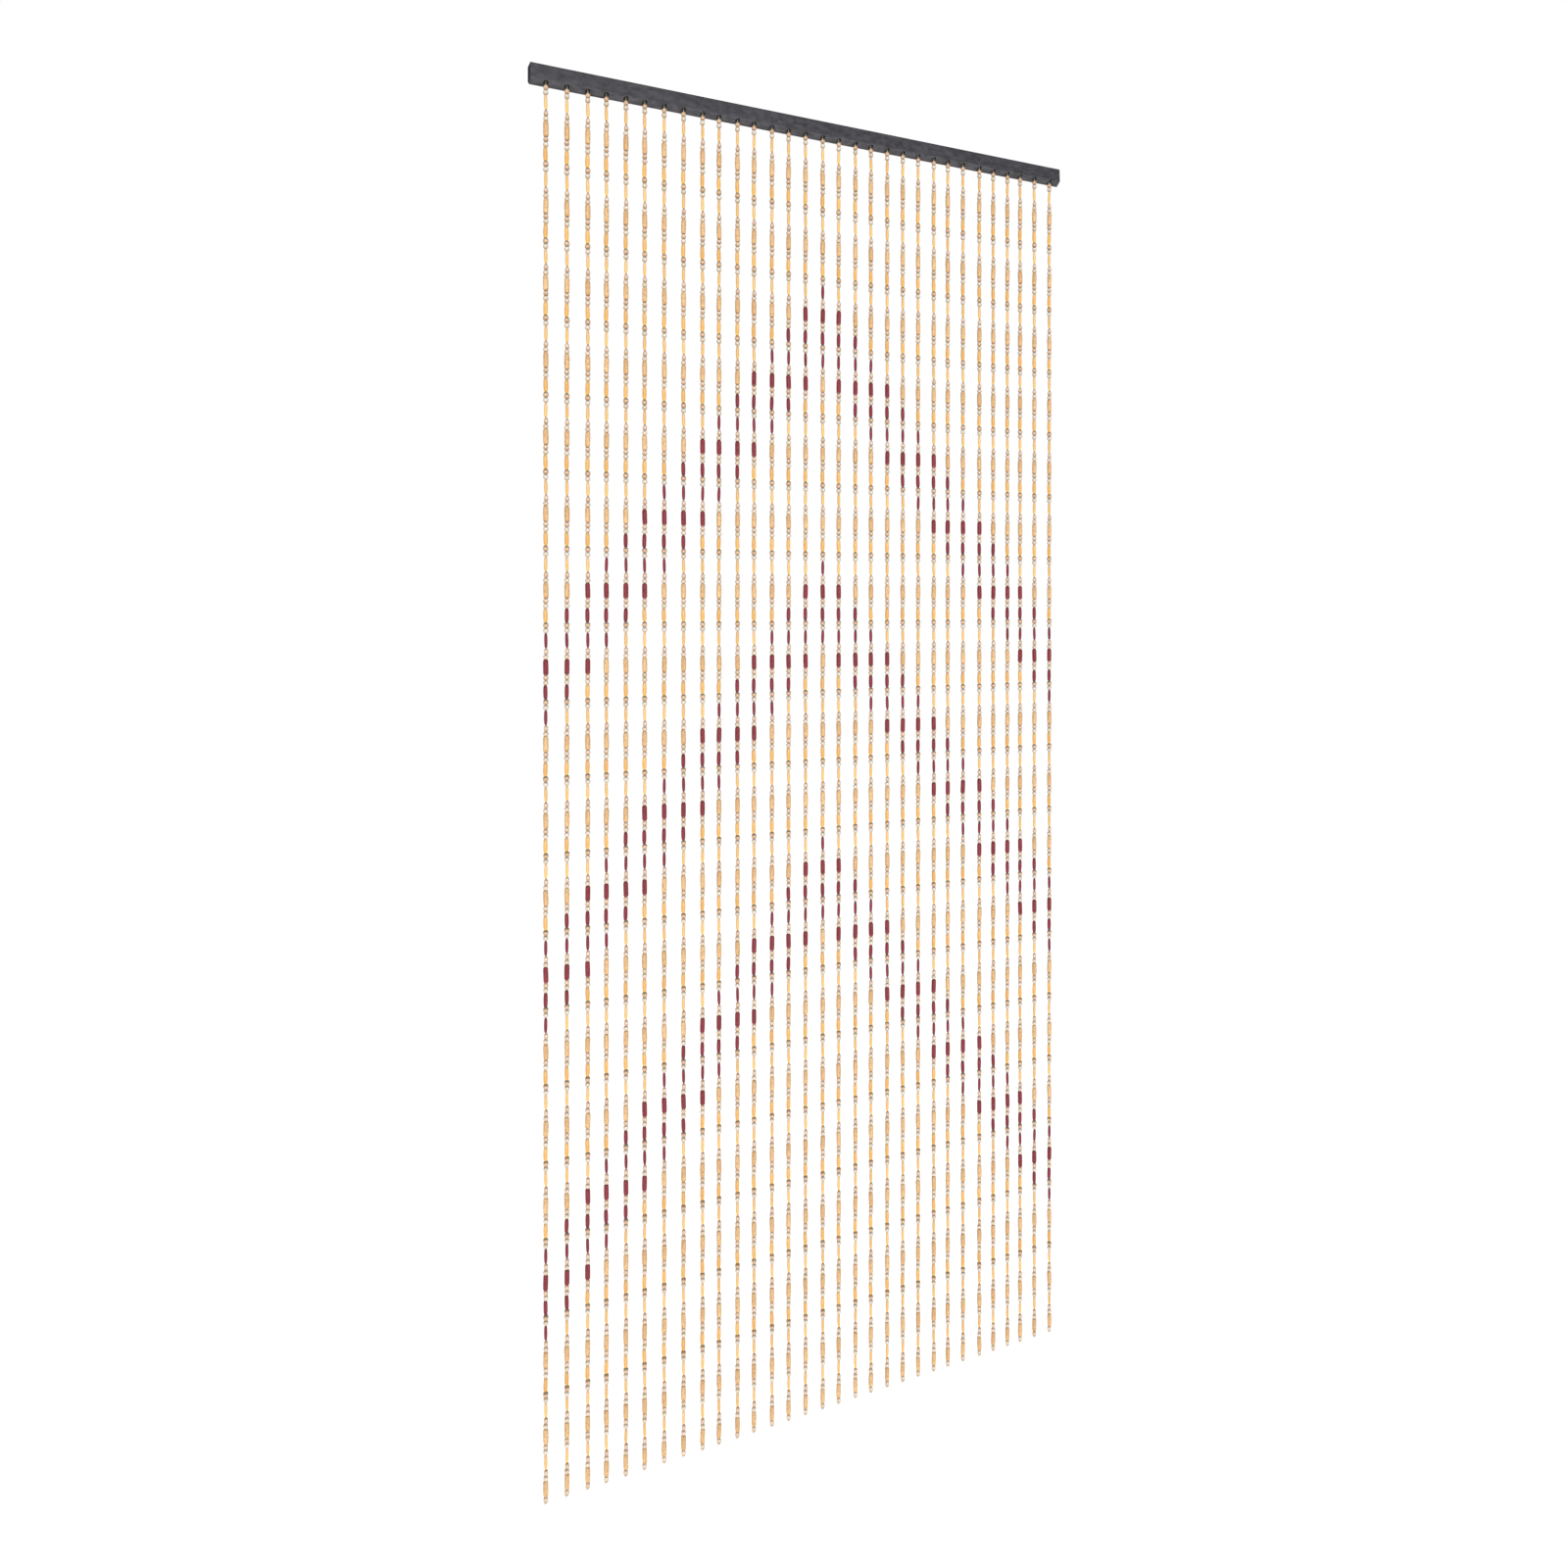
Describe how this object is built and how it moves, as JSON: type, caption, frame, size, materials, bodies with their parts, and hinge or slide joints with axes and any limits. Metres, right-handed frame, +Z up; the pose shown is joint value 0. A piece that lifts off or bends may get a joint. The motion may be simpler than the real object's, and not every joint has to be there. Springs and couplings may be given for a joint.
{
  "type": "bead curtain with top rail",
  "caption": "Door curtain of strung wooden and pearl beads in a chevron pattern, hanging from a flat-backed charcoal wooden top rail.",
  "frame": {"origin": "middle of the rail's flat back face, which lies against the wall", "axes": "+X along the rail to the viewer's right, +Y from the front towards the wall, +Z up"},
  "size_m": [1, 0.02, 2.2],
  "materials": {
    "rail_wood": "charcoal stain, satin, fine grain along the length",
    "bead_wood": "pale tan and amber varnished beads with burgundy ones in chevrons",
    "pearl": "creamy pearl lustre",
    "thread": "clear monofilament"
  },
  "bodies": {
    "root": {"rail": "rail_wood", "strands": "bead_wood"}
  },
  "joints": []
}
